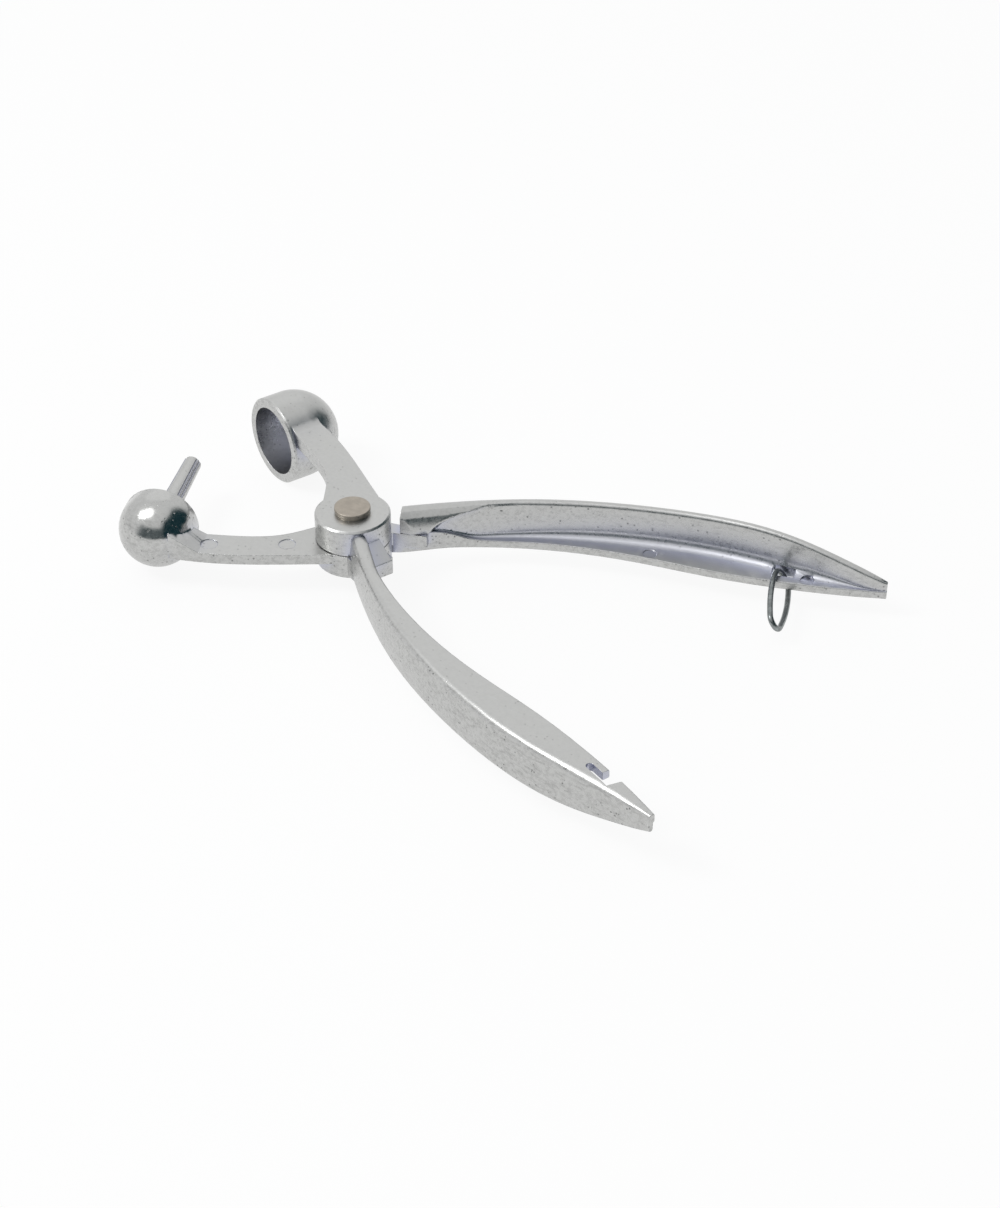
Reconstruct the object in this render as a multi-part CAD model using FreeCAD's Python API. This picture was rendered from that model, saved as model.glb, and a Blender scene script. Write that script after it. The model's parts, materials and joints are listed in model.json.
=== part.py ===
import FreeCAD, Part
import math
import os

# Olive pitter: two cast aluminium levers that cross at a rivet, like a pair of pliers.
# The cup lever carries the domed cup, the punch lever the ball with its punch pin.
#
# Frame: the origin is on the pivot axis, at the flat end of the rivet's tail.
# +Z runs up the rivet, +X along the tool towards the handle tips, and the cup is on the +Y side.
# Both levers are drawn in the closed stance, where punch and cup share one line,
# and are then swung open by half_opening each, which is the stance at rest.
# While they are drawn, z = 0 is the parting plane between the two hub halves.

# Stance, in degrees
half_opening = 22.0
squeeze_past_line = 0.5

# Hub
hub_radius = 8.7
hub_above = 6.6
hub_below = 5.85
parting_gap = 0.25
hub_rim_bevel = 0.45

# Rivet and washer
shank_radius = 2.6
running_clearance = 0.05
head_radius = 4.15
head_height = 0.9
head_edge_bevel = 0.15
dimple_radius = 0.8
dimple_depth = 0.25
washer_radius = 4.0
washer_thickness = 0.5
tail_radius = 3.8
tail_height = 0.75
tail_play = 0.1

# Return spring, wound round the shank inside both hub halves
spring_wire_radius = 0.55
spring_coil_radius = 5.0
spring_turns = 3.25
spring_pitch = 1.55
spring_leg_length = 4.0
spring_side_play = 0.45
spring_end_play = 0.3
spring_boss_gap = 0.75
spring_wire_sides = 6
lower_pocket_share = 0.46
upper_leg_turn = 200.0

# Handles, both alike: a web on the palm side and a flange across it
handle_root = 6.0
handle_tip = 121.5
handle_depth = 5.7
tip_flange_lift = 0.2
rim_height = 5.6
rim_drop_start = 88.0
rim_drop = 6.9
web_thickness = 2.0
flange_thickness = 2.0
root_web_extra = 1.5
root_flange_extra = 3.4
root_end = 16.5
root_run_out = 13.0
channel_fillet = 2.4
palm_rounding = 1.9
palm_bulge = 0.35
band_turn = 25.0
rim_rounding = 0.9
edge_rounding = 0.4
root_edge_rounding = 1.2
tip_rounding = 4.5
flange_edge_cut = 0.16
widest_web_share = 0.72
widest_bend_share = 0.5
widest_corner_share = 0.4
widest_edge_share = 0.3
tip_middle_shift = 0.8
handle_stations = [handle_root, 11.0, 16.0, 21.0, 26.0, 31.0, 40.0, 52.0, 66.0, 80.0, 92.0, 103.0, 112.0,
                   handle_tip]
palm_line = [(handle_root, 4.6), (20.0, 9.9), (40.0, 15.2), (62.0, 17.3), (84.0, 16.1), (104.0, 11.8),
             (handle_tip, 7.8)]
inner_line = [(handle_root, 0.6), (14.0, 3.9), (24.0, 7.6), (38.0, 10.1), (50.0, 10.6), (64.0, 9.7),
              (80.0, 7.4), (98.0, 5.9), (handle_tip, 6.4)]

# Shoulder of the punch lever and stop of the cup lever, which meet when the tool is shut
shoulder_clearance = 1.6
shoulder_face = 2.75
shoulder_end = 16.5
shoulder_depth = 3.5
shoulder_outline = [(1.0, 7.6), (10.5, 6.2), (shoulder_end, 7.6), (shoulder_end, shoulder_face),
                    (8.6, shoulder_face), (6.0, 0.0)]
stop_start = 4.0
stop_far_side = 6.0
stop_lift = 1.0
stop_end = 12.6
stop_touch_gap = 0.1
gusset_start = 5.0
gusset_height = 5.2
gusset_end = 13.8
gusset_step = 0.9
stop_rounding = 1.0
cup_arm_fillet = 4.0
ramp_start = 33.0
ramp_height = 4.0
ramp_sink = 0.5
hub_swing_gap = 0.5

# Arms, both alike in plan
arm_outer_line = [(-2.0, 8.2), (-15.5, 11.1), (-28.0, 13.2), (-40.0, 13.4)]
arm_inner_line = [(-5.0, -5.0), (-9.8, -1.4), (-12.4, 0.6), (-16.6, 3.1), (-25.0, 5.2), (-33.0, 6.0),
                  (-40.0, 6.8)]
cup_arm_thickness = 3.5
ball_arm_thickness = 2.6

# Line that punch and cup share, and what lies along it
work_line = 44.8
cup_outer_radius = 10.7
cup_bore_radius = 8.45
cup_mouth = 5.3
cup_bore_depth = 5.9
cup_lip_bevel = 0.4
pit_hole_radius = 4.4
ball_radius = 8.95
ball_place = -6.0
ball_collar = 3.4
ball_lip_bevel = 0.6
punch_reach = 22.0
punch_root_radius = 2.6
punch_tip_radius = 2.1
punch_tip_bevel = 0.6
flute_radius = 0.3
flute_spacing = 11.0
flute_middle = 37.0

# Round marks left by the mould's ejector pins on the ball arm and the punch lever's floor
mark_radius = 2.0
mark_depth = 0.15
mark_height = 1.0
arm_mark_reaches = (14.0, 31.5)
floor_mark_radius = 1.6
floor_mark_height = 0.6
floor_mark_from_edge = 1.9
floor_mark_reaches = (67.0, 103.5)

# Hook notch in the cup lever's flange
notch_start = handle_tip - 19.8
notch_mouth = handle_tip - 15.8
notch_end = handle_tip - 12.2
notch_mouth_flare = 1.2
finger_width = 1.7
notch_width = 1.7

# Locking loop in the punch lever's floor
loop_wire_radius = 0.65
loop_wire_sides = 12
loop_reach = 15.8
loop_near_radius = 2.9
loop_far_radius = 2.1
loop_half_width = 3.3
loop_twist = 34.0
loop_lean = 2.0
loop_turn = 2.5
loop_place = handle_tip - 23.7
loop_strip = 2.4
loop_hole_width = 2.9
loop_hole_length = 5.4
loop_hole_corner = 0.8

# How far a cutting shape reaches past the work
overcut = 1.0
past_all = 60.0

# What follows from the sizes above
stop_face = shoulder_face - stop_touch_gap - math.radians(squeeze_past_line) * stop_end
parting_height = hub_below + tail_height
cup_centre = cup_mouth + cup_bore_depth
top_face = parting_gap / 2
stop_pocket = hub_radius + hub_swing_gap
parts = {}


def vec(x, y, z=0.0):
    """A point or a direction."""
    return FreeCAD.Vector(x, y, z)


def line(start, end):
    """A straight edge."""
    return Part.LineSegment(start, end).toShape()


def arc(start, middle, end):
    """A circular edge through three points."""
    return Part.Arc(start, middle, end).toShape()


def smooth(points, z=0.0):
    """A smooth curve through points of the plan."""
    curve = Part.BSplineCurve()
    curve.interpolate([vec(x, y, z) for x, y in points])
    return curve


def height_on(curve, x):
    """The y of a plan curve at x, found by halving, as x only grows or only falls along it."""
    low = curve.FirstParameter
    high = curve.LastParameter
    rising = curve.value(high).x > curve.value(low).x
    for _ in range(40):
        middle = (low + high) / 2
        if (curve.value(middle).x < x) == rising:
            low = middle
        else:
            high = middle
    return curve.value((low + high) / 2).y


def prism(outline, low, high):
    """A closed plan outline, raised from one height to another."""
    face = Part.Face(Part.Wire(outline))
    face.translate(vec(0, 0, low))
    return face.extrude(vec(0, 0, high - low))


def polygon(points):
    """The straight edges of a closed outline."""
    corners = [vec(x, y) for x, y in points]
    return [line(a, b) for a, b in zip(corners, corners[1:] + corners[:1])]


def block(x, y, z):
    """A box between two values on each axis."""
    return Part.makeBox(x[1] - x[0], y[1] - y[0], z[1] - z[0], vec(x[0], y[0], z[0]))


def disc(radius, low, high):
    """A round plate on the pivot axis."""
    return Part.makeCylinder(radius, high - low, vec(0, 0, low))


def along_work_line(radius, start, end, end_radius=None):
    """A cylinder or cone on the work line."""
    base = vec(-work_line, start)
    if end_radius is None:
        return Part.makeCylinder(radius, end - start, base, vec(0, 1))
    return Part.makeCone(radius, end_radius, end - start, base, vec(0, 1))


def rounded(shape, radius, wanted):
    """The shape with those of its edges rounded that pass the test."""
    return shape.makeFillet(radius, [edge for edge in shape.Edges if wanted(edge)])


def bevelled(shape, size, wanted):
    """The shape with a flat bevel on those of its edges that pass the test."""
    return shape.makeChamfer(size, [edge for edge in shape.Edges if wanted(edge)])


def flipped(shape):
    """The shape turned over about the tool's long axis."""
    turned_over = shape.copy()
    turned_over.rotate(vec(0, 0), vec(1, 0), 180)
    return turned_over


palm_curve = smooth(palm_line)
inner_curve = smooth(inner_line)


def root_share(x):
    """1 in the solid root by the hub, then falling smoothly to 0 where the plain section begins."""
    run = min(max(x - root_end, 0) / root_run_out, 1)
    return (1 + math.cos(math.pi * run)) / 2


def rim_at(x):
    """Height of the web's rim, which drops near the tip."""
    run = max(x - rim_drop_start, 0) / (handle_tip - rim_drop_start)
    return rim_height - rim_drop * run ** 2


def floor_at(x):
    """Height of the flange's underside, which rises a little towards the tip."""
    return -handle_depth + tip_flange_lift * max(x - rim_drop_start, 0) / (handle_tip - rim_drop_start)


def handle_section(x):
    """Section of a handle across x: a flange at the bottom, a web on the palm side, open above."""
    palm = height_on(palm_curve, x)
    inner = height_on(inner_curve, x)
    width = palm - inner
    floor = floor_at(x)
    rim = rim_at(x)
    share = root_share(x)
    web = min(web_thickness + root_web_extra * share, widest_web_share * width)
    top = floor + flange_thickness + root_flange_extra * share
    bend = min(channel_fillet, widest_bend_share * (width - web), widest_bend_share * (rim - top))
    edge = min(edge_rounding + root_edge_rounding * share, widest_edge_share * width)
    corner = min(palm_rounding, widest_corner_share * width)
    outer = min(rim_rounding, web / 2)
    crest = web - outer
    ledge = floor + corner * (1 - math.sin(math.radians(band_turn)))
    points = [(inner + edge, floor)]
    points += on_circle(palm - corner, floor + corner, corner, -90, -band_turn, 2)
    points.append((palm + palm_bulge, (ledge + rim - outer) / 2))
    points += on_circle(palm - outer, rim - outer, outer, 0, 90, 2)
    points += on_circle(palm - outer, rim - crest, crest, 90, 180, 2)[1:]
    points += on_circle(palm - web - bend, top + bend, bend, 0, -90, 3)
    points.append((inner + flange_edge_cut, top))
    points.append((inner, top - flange_edge_cut))
    points += on_circle(inner + edge, floor + edge, edge, 180, 270, 2)[:-1]
    corners = [vec(x, y, z) for y, z in points]
    return Part.Wire([line(a, b) for a, b in zip(corners, corners[1:] + corners[:1])])


def on_circle(y, z, radius, start, end, steps):
    """Points across x on an arc of a circle, as its rounding is made of narrow flats."""
    turns = [math.radians(start + (end - start) * step / steps) for step in range(steps + 1)]
    return [(y + radius * math.cos(turn), z + radius * math.sin(turn)) for turn in turns]


def handle():
    """One handle, on the +Y side with its flange below: a loft through sections across the tool."""
    bar = Part.makeLoft([handle_section(x) for x in handle_stations], True, False)
    return bar.common(tip_limit())


def tip_limit():
    """The room the handle may fill: a long block with a rounded end at the tip."""
    middle = height_on(inner_curve, handle_tip) + tip_middle_shift
    centre = handle_tip - tip_rounding
    end = Part.makeCylinder(tip_rounding, 2 * past_all, vec(centre, middle, -past_all))
    return block((0, centre), (-past_all, past_all), (-past_all, past_all)).fuse(end)


def arm(thickness):
    """An arm from the hub to the work line, on the +Y side, as a plate under z = 0."""
    outer = smooth(arm_outer_line)
    inner = smooth(arm_inner_line)
    first = line(inner.value(inner.FirstParameter), outer.value(outer.FirstParameter))
    last = line(outer.value(outer.LastParameter), inner.value(inner.LastParameter))
    return prism([first, outer.toShape(), last, inner.toShape()], -thickness, 0)


def spring_room(low, high):
    """The annular pocket for the spring in one hub half."""
    outer = spring_coil_radius + spring_wire_radius + spring_side_play
    inner = spring_coil_radius - spring_wire_radius - spring_boss_gap
    return disc(outer, low, high).cut(disc(inner, low, high))


def shank_hole(low, high):
    """The hole for the rivet's shank."""
    return disc(shank_radius + running_clearance, low, high)


def half_ball(radius, place_along, side):
    """Half a ball on the work line, bulging towards +Y for side 1 and towards -Y for side -1."""
    whole = Part.makeSphere(radius, vec(-work_line, place_along))
    ends = sorted((place_along, place_along + 2 * side * radius))
    return whole.common(along_work_line(2 * radius, ends[0], ends[1]))


def cup():
    """The domed cup, still without its bore."""
    barrel = along_work_line(cup_outer_radius, cup_mouth, cup_centre)
    barrel = bevelled(barrel, cup_lip_bevel, lambda e: abs(e.BoundBox.YMax - cup_mouth) < 0.01)
    return barrel.fuse(half_ball(cup_outer_radius, cup_centre, 1))


def cup_hollow():
    """The bore, its round end and the hole that lets the pit out."""
    bore = along_work_line(cup_bore_radius, cup_mouth - overcut, cup_centre)
    end = half_ball(cup_bore_radius, cup_centre, 1)
    hole = along_work_line(pit_hole_radius, cup_centre, cup_centre + 2 * cup_outer_radius)
    return bore.fuse([end, hole])


def hook_notch():
    """The notch that leaves a finger in the flange, for the locking loop to catch."""
    edge = height_on(inner_curve, notch_mouth)
    low = -handle_depth - overcut
    high = -handle_depth + flange_thickness + overcut
    off = edge - 2 * overcut
    near = edge + finger_width
    far = near + notch_width
    centre = notch_start + notch_width / 2
    flare = notch_end + notch_mouth_flare
    mouth = polygon([(notch_mouth, off), (flare, off), (notch_end, far), (notch_mouth, far)])
    slot = polygon([(centre, near), (notch_mouth, near), (notch_mouth, far), (centre, far)])
    end = Part.makeCylinder(notch_width / 2, high - low, vec(centre, (near + far) / 2, low))
    return prism(mouth, low, high).fuse([prism(slot, low, high), end])


def stop_lug():
    """The lug inside the cup lever's handle that meets the punch lever's shoulder."""
    lug = block((stop_start, stop_end), (-stop_far_side, stop_face), (stop_lift - hub_below, top_face))
    lug = rounded(lug, stop_rounding, lambda e: e.BoundBox.XMin > stop_end - 0.01 and e.BoundBox.ZMax < 0)
    return lug.cut(disc(stop_pocket, -past_all, top_face))


def gusset():
    """The sloping web between the cup lever's hub and its handle, over the stop."""
    side = -gusset_start
    corners = [(gusset_start, top_face), (gusset_end, top_face), (gusset_start, top_face + gusset_height)]
    outline = Part.makePolygon([vec(x, side, z) for x, z in corners + corners[:1]])
    return Part.Face(outline).extrude(vec(0, stop_face - gusset_step - side))


def on_cup_top(edge):
    """Whether an edge is where the arm's top meets the cup."""
    box = edge.BoundBox
    flat = box.ZLength < 0.01 and abs(box.ZMin - hub_above) < 0.01
    inside = box.XMin > -work_line and box.XMax < -work_line + cup_outer_radius
    return flat and inside and box.YMin > cup_mouth


def cup_lever():
    """The upper lever: hub half, arm, cup, and the handle whose flange is on top."""
    hub = disc(hub_radius, top_face, hub_above)
    hub = bevelled(hub, hub_rim_bevel, lambda e: e.BoundBox.ZMin > hub_above - 0.01)
    bar = flipped(handle())
    around_lower_hub = disc(stop_pocket, -past_all, top_face)
    bar = bar.cut(around_lower_hub)
    bar = bar.cut(flipped(hook_notch()))
    plate = arm(cup_arm_thickness)
    plate.translate(vec(0, 0, hub_above))
    joined = plate.fuse(cup())
    joined = rounded(joined, cup_arm_fillet, on_cup_top)
    body = hub.fuse([bar, joined, stop_lug(), gusset()])
    body = body.cut(cup_hollow())
    body = body.cut(shank_hole(-hub_above, hub_above + overcut))
    body = body.cut(spring_room(0, upper_pocket))
    return body.cut(spring_slot(upper_leg_turn + half_opening, 0, upper_pocket, -1))


def ball():
    """The ball with its collar and the flat face that presses the olive."""
    collar = along_work_line(ball_radius, ball_place, ball_place + ball_collar)
    front = ball_place + ball_collar
    collar = bevelled(collar, ball_lip_bevel, lambda e: e.BoundBox.YMin > front - 0.01)
    return half_ball(ball_radius, ball_place, -1).fuse(collar)


def punch():
    """The tapered punch pin with pairs of flutes that leave four fine ribs."""
    pin = along_work_line(punch_root_radius, ball_place, punch_reach, punch_tip_radius)
    pin = bevelled(pin, punch_tip_bevel, lambda e: e.BoundBox.YMin > punch_reach - 0.01)
    flutes = []
    for middle in (flute_middle, 180 - flute_middle, 180 + flute_middle, 360 - flute_middle):
        for side in (-flute_spacing, flute_spacing):
            flutes.append(flute(math.radians(middle + side)))
    return pin.cut(flutes)


def flute(angle):
    """A round-bottomed groove along the punch pin's taper."""
    out = vec(math.cos(angle), 0, math.sin(angle))
    start = vec(-work_line, ball_place) + out * punch_root_radius
    end = vec(-work_line, punch_reach) + out * punch_tip_radius
    way = end - start
    return Part.makeCylinder(flute_radius, way.Length + 1, start, way)


def shoulder():
    """The punch lever's neck: a thick plate from the hub to the handle, with an upright inner face."""
    return prism(polygon(shoulder_outline), -shoulder_depth, -top_face)


def loop_frame():
    """Centre of the strip that the loop goes round, and the way along the edge, in the closed stance."""
    edge = vec(loop_place, height_on(inner_curve, loop_place))
    beyond = vec(loop_place + 1, height_on(inner_curve, loop_place + 1))
    way = (beyond - edge).normalize()
    inward = vec(-way.y, way.x)
    middle = -handle_depth + flange_thickness / 2
    centre = edge + inward * (loop_strip / 2) + vec(0, 0, middle)
    return centre, way, inward


def loop_hole():
    """The long hole in the floor that the loop passes through."""
    centre, way, inward = loop_frame()
    hole = Part.makeBox(loop_hole_length, loop_hole_width, 2 * flange_thickness)
    hole = rounded(hole, loop_hole_corner, lambda e: e.BoundBox.ZLength > flange_thickness)
    hole.translate(vec(-loop_hole_length / 2, loop_strip / 2, -flange_thickness))
    hole.rotate(vec(0, 0), vec(0, 0, 1), math.degrees(math.atan2(way.y, way.x)))
    hole.translate(centre)
    return hole


def ball_ramp():
    """The ramp on the ball arm that rises from the arm's top to the ball."""
    over_arm = flipped(arm(ball_arm_thickness + ramp_height))
    over_arm.translate(vec(0, 0, -top_face - ball_arm_thickness))
    far = -work_line + ball_radius / 2
    low = -top_face - ramp_sink
    corners = [(-ramp_start, low), (-ramp_start, -top_face), (far, -top_face + ramp_height), (far, low)]
    outline = Part.makePolygon([vec(x, -past_all, z) for x, z in corners + corners[:1]])
    return over_arm.common(Part.Face(outline).extrude(vec(0, past_all)))


def punch_lever():
    """The lower lever: hub half, arm, ball with punch, and the handle that is open upwards."""
    hub = disc(hub_radius, -hub_below, -top_face)
    bar = handle()
    any_side = (-past_all, past_all)
    over_shoulder = block((-past_all, shoulder_clearance + hub_radius), any_side, (-top_face, past_all))
    beyond_face = block((hub_radius - hub_swing_gap, shoulder_end), (-past_all, shoulder_face), any_side)
    bar = bar.cut([over_shoulder, beyond_face])
    plate = flipped(arm(ball_arm_thickness))
    plate.translate(vec(0, 0, -top_face - ball_arm_thickness))
    marks = [Part.makeCylinder(mark_radius, mark_height, mark_point(reach)) for reach in arm_mark_reaches]
    marks += [Part.makeCylinder(floor_mark_radius, floor_mark_height, floor_mark_point(reach))
              for reach in floor_mark_reaches]
    body = hub.fuse([bar, shoulder(), plate, ball_ramp(), ball(), punch()])
    body = body.cut(marks)
    body = body.cut(loop_hole())
    body = body.cut(shank_hole(-hub_above, overcut))
    body = body.cut(spring_room(-lower_pocket, 0))
    return body.cut(spring_slot(lower_leg_turn - half_opening, -lower_pocket, 0, 1))


def mark_point(reach):
    """Where an ejector mark lies on the ball arm, midway between its edges."""
    outer = height_on(smooth(arm_outer_line), -reach)
    inner = height_on(smooth(arm_inner_line), -reach)
    return vec(-reach, -(outer + inner) / 2, -top_face - mark_depth)


def floor_mark_point(reach):
    """Where an ejector mark lies on the punch lever's floor, near the floor's open edge."""
    edge = height_on(inner_curve, reach)
    return vec(reach, edge + floor_mark_from_edge, floor_at(reach) + flange_thickness - mark_depth)


# Spring: its coils fill the room between the two pockets
spring_height = spring_turns * spring_pitch + 2 * spring_wire_radius
room_height = spring_height + 2 * spring_end_play
lower_pocket = room_height * lower_pocket_share
upper_pocket = room_height - lower_pocket
lower_leg_turn = upper_leg_turn - 360.0 * spring_turns


def around(turn, radius):
    """A point round the pivot axis."""
    angle = math.radians(turn)
    return vec(radius * math.cos(angle), radius * math.sin(angle))


def spring_slot(turn, low, high, side):
    """The slot that holds one leg of the spring."""
    start = around(turn, spring_coil_radius)
    way = around(turn - 90 * side, 1)
    half = spring_wire_radius + spring_side_play / 2
    across = around(turn, half)
    length = way * (spring_leg_length + spring_side_play)
    base = vec(0, 0, low)
    corners = [start - across, start - across + length, start + across + length, start + across]
    face = Part.Face(Part.makePolygon([corner + base for corner in corners + corners[:1]]))
    return face.extrude(vec(0, 0, high - low))


def biarc(start, start_way, end, end_way):
    """Two arcs that join two points and keep the given directions there."""
    gap = end - start
    both = start_way + end_way
    a = 2 * (1 - start_way.dot(end_way))
    b = 2 * gap.dot(both)
    reach = (-b + math.sqrt(b * b + 4 * a * gap.dot(gap))) / (2 * a)
    first = start + start_way * reach
    second = end - end_way * reach
    joint = (first + second) * 0.5
    return [half_arc(start, first, joint, reach), half_arc(joint, second, end, reach)]


def half_arc(start, corner, end, reach):
    """The arc that touches both sides of an equal-sided corner."""
    chord = (start + end) * 0.5
    weight = (end - start).Length / 2 / reach
    middle = (chord + corner * weight) * (1 / (1 + weight))
    return arc(start, middle, end)


def helix_point(turn):
    """A point on the spring's centre line and its direction, by the turn in degrees."""
    low = -lower_pocket + spring_end_play + spring_wire_radius
    rise = spring_pitch * (turn - lower_leg_turn) / 360
    point = around(turn, spring_coil_radius) + vec(0, 0, low + rise)
    way = around(turn + 90, math.radians(90) * spring_coil_radius) + vec(0, 0, spring_pitch / 4)
    return point, way.normalize()


def wire_outline(centre, way, radius, sides):
    """The section of a drawn wire: a regular polygon across the wire's direction."""
    up = way.cross(vec(0, 0, 1)).cross(way).normalize() * radius
    turns = [FreeCAD.Rotation(way, 360 * (side + 0.5) / sides) for side in range(sides)]
    corners = [centre + turn.multVec(up) for turn in turns]
    return Part.makePolygon(corners + corners[:1])


def return_spring():
    """The torsion spring: one wire with a straight leg at each end."""
    edges = []
    steps = round(spring_turns * 4)
    places = [helix_point(lower_leg_turn + 90 * step) for step in range(steps + 1)]
    first, first_way = places[0]
    last, last_way = places[-1]
    free_end = first - first_way * spring_leg_length
    edges.append(line(free_end, first))
    for (start, start_way), (end, end_way) in zip(places, places[1:]):
        edges += biarc(start, start_way, end, end_way)
    edges.append(line(last, last + last_way * spring_leg_length))
    path = Part.Wire(edges)
    ring = wire_outline(free_end, first_way, spring_wire_radius, spring_wire_sides)
    print("least gap between turns of the spring:", round(spring_pitch - 2 * spring_wire_radius, 2))
    return path.makePipeShell([ring], True, False)


def pivot_rivet():
    """The rivet: shank, flat head with a dimple, and upset tail."""
    shank = disc(shank_radius, -hub_below - tail_play, hub_above + washer_thickness)
    head = disc(head_radius, hub_above + washer_thickness, hub_above + washer_thickness + head_height)
    top = hub_above + washer_thickness + head_height
    head = bevelled(head, head_edge_bevel, lambda e: e.BoundBox.ZMin > top - 0.01)
    tail = disc(tail_radius, -parting_height, -hub_below - tail_play)
    dimple = Part.makeCone(0, dimple_radius, dimple_depth, vec(0, 0, top - dimple_depth))
    return shank.fuse([head, tail]).cut(dimple)


def rivet_washer():
    """The thin washer between the head and the hub."""
    return disc(washer_radius, hub_above, hub_above + washer_thickness).cut(
        shank_hole(hub_above, hub_above + washer_thickness))


def locking_loop():
    """The wire link: two end bends joined by two long, slightly bowed sides."""
    centre, way, inward = loop_frame()
    turn = FreeCAD.Rotation(vec(0, 0, 1), loop_turn)
    out = turn.multVec(inward * -1)
    side = turn.multVec(way)
    lean = FreeCAD.Rotation(side, loop_lean)
    out = lean.multVec(out)
    twist = FreeCAD.Rotation(out, loop_twist)
    wide = twist.multVec(lean.multVec(vec(0, 0, 1)))
    far = loop_reach - loop_far_radius

    def spot(along, across):
        return centre + out * along + wide * across

    near_mid = spot(-loop_near_radius, 0)
    far_mid = spot(far + loop_far_radius, 0)
    bow = side_arc(far)
    upper = [spot(*point) for point in bow]
    lower = [spot(along, -across) for along, across in bow]
    edges = [
        arc(upper[0], upper[1], upper[2]),
        arc(upper[2], far_mid, lower[2]),
        arc(lower[2], lower[1], lower[0]),
        arc(lower[0], near_mid, upper[0]),
    ]
    path = Part.Wire(edges)
    start_way = edges[0].tangentAt(edges[0].FirstParameter)
    ring = wire_outline(upper[0], start_way, loop_wire_radius, loop_wire_sides)
    return path.makePipeShell([ring], True, False)


def side_arc(far):
    """Start, middle and end of a side of the loop, in its plane: a large arc that touches both end bends."""
    # the arc's centre is at (shift, -depth), and shift grows with its radius as slope * radius + base
    slope = (loop_far_radius - loop_near_radius) / far
    base = far / 2 - slope * (loop_near_radius + loop_far_radius) / 2
    b = 2 * slope * base - 2 * (loop_half_width - loop_near_radius)
    c = base ** 2 + loop_half_width ** 2 - loop_near_radius ** 2
    radius = 2 * c / (-b + math.sqrt(b ** 2 - 4 * slope ** 2 * c))
    shift = slope * radius + base
    depth = radius - loop_half_width
    start = touch((shift, -depth), (0.0, 0.0), loop_near_radius)
    end = touch((shift, -depth), (far, 0.0), loop_far_radius)
    return [start, (shift, loop_half_width), end]


def touch(centre, circle, circle_radius):
    """Where the large arc touches an end circle: on the line of their centres."""
    dx = circle[0] - centre[0]
    dy = circle[1] - centre[1]
    size = math.hypot(dx, dy)
    return circle[0] + dx / size * circle_radius, circle[1] + dy / size * circle_radius


def place(shape, turn):
    """Swing a piece open and lift it so that the rivet's tail ends at z = 0."""
    placed = shape.copy()
    placed.rotate(vec(0, 0), vec(0, 0, 1), turn)
    placed.translate(vec(0, 0, parting_height))
    return placed


def build():
    """Every piece in its place at rest."""
    parts["cup_lever"] = place(cup_lever(), -half_opening)
    parts["punch_lever"] = place(punch_lever(), half_opening)
    parts["pivot_rivet"] = place(pivot_rivet(), 0)
    parts["rivet_washer"] = place(rivet_washer(), 0)
    parts["return_spring"] = place(return_spring(), 0)
    parts["locking_loop"] = place(locking_loop(), half_opening)


build()
os.makedirs("parts", exist_ok=True)
for name, shape in parts.items():
    solid = shape.Solids[0] if len(shape.Solids) == 1 else shape
    print(name, "solids", len(shape.Solids), "valid", shape.isValid(), "volume", round(shape.Volume, 1))
    solid.exportStep("parts/" + name + ".step")
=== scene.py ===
import json
import math

import bmesh
import bpy
import numpy as np
from bpy.props import FloatProperty, FloatVectorProperty, IntProperty, PointerProperty
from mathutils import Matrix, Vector


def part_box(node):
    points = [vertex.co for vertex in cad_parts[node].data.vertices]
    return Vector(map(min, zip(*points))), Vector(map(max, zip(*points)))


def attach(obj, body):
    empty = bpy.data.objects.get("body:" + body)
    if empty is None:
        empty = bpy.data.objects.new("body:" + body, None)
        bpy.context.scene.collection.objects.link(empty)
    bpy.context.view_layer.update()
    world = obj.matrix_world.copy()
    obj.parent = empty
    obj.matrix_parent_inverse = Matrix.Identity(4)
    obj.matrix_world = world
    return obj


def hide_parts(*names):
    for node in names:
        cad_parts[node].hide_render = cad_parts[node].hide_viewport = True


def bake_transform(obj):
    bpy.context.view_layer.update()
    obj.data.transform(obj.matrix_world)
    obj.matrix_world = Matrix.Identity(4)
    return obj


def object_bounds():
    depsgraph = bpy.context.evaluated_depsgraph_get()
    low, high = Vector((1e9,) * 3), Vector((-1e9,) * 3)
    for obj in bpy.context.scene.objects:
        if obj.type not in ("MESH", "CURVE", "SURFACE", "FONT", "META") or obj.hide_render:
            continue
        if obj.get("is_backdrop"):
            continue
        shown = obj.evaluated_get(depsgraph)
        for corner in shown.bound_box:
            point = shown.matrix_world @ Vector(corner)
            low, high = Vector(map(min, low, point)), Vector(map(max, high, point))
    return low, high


bl_info = {
    "name": "Olive pitter",
    "version": (1, 0, 0),
    "blender": (4, 5, 0),
    "location": "View3D > Sidebar > Olive pitter",
    "description": "Dresses the packed olive pitter: cast levers, rivet, spring, loop and stage",
    "category": "Object",
}

# Frame: metres, +Z up along the rivet from its tail's flat end, +X between the handles,
# +Y on the cup's side.
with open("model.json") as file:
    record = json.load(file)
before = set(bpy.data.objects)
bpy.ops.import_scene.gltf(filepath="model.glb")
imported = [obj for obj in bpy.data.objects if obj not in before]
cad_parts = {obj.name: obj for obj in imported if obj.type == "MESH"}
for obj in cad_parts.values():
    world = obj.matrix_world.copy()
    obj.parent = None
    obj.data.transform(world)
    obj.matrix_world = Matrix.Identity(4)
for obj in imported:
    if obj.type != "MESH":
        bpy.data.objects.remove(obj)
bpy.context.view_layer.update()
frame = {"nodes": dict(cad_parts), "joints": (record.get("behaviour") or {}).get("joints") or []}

MM = 0.001

# The levers part at one height and are each turned open from the closed stance. The ball stands at
# the working radius, set back across its lever.
PARTING_HEIGHT = 6.6 * MM
OPEN_TURN = math.radians(22)
WORK_RADIUS = 44.8 * MM
BALL_SETBACK = 6.0 * MM

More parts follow.
